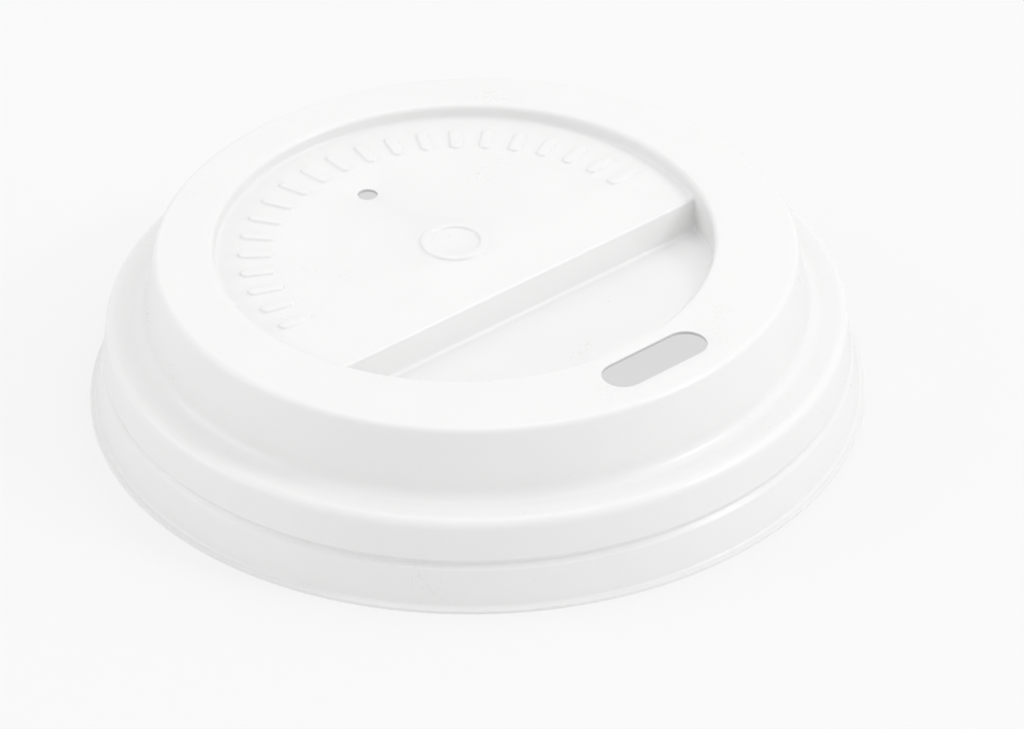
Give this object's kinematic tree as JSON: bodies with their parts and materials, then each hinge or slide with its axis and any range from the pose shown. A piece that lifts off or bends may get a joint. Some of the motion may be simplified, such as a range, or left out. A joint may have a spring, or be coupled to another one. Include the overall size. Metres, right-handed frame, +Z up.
{
  "type": "sip-through coffee cup lid",
  "caption": "White domed takeaway cup lid with a flared skirt, recessed top, sip slot and vent hole.",
  "frame": {"origin": "centre of the underside of the hem, on the surface that the lid stands on", "axes": "+Z up through the rim, -Y towards the sip slot, +X along the slot and the step in the recess"},
  "size_m": [0.094, 0.094, 0.0198],
  "materials": {
    "lid": "satin white thermoformed polystyrene"
  },
  "bodies": {
    "root": {"lid": "lid"}
  },
  "joints": []
}
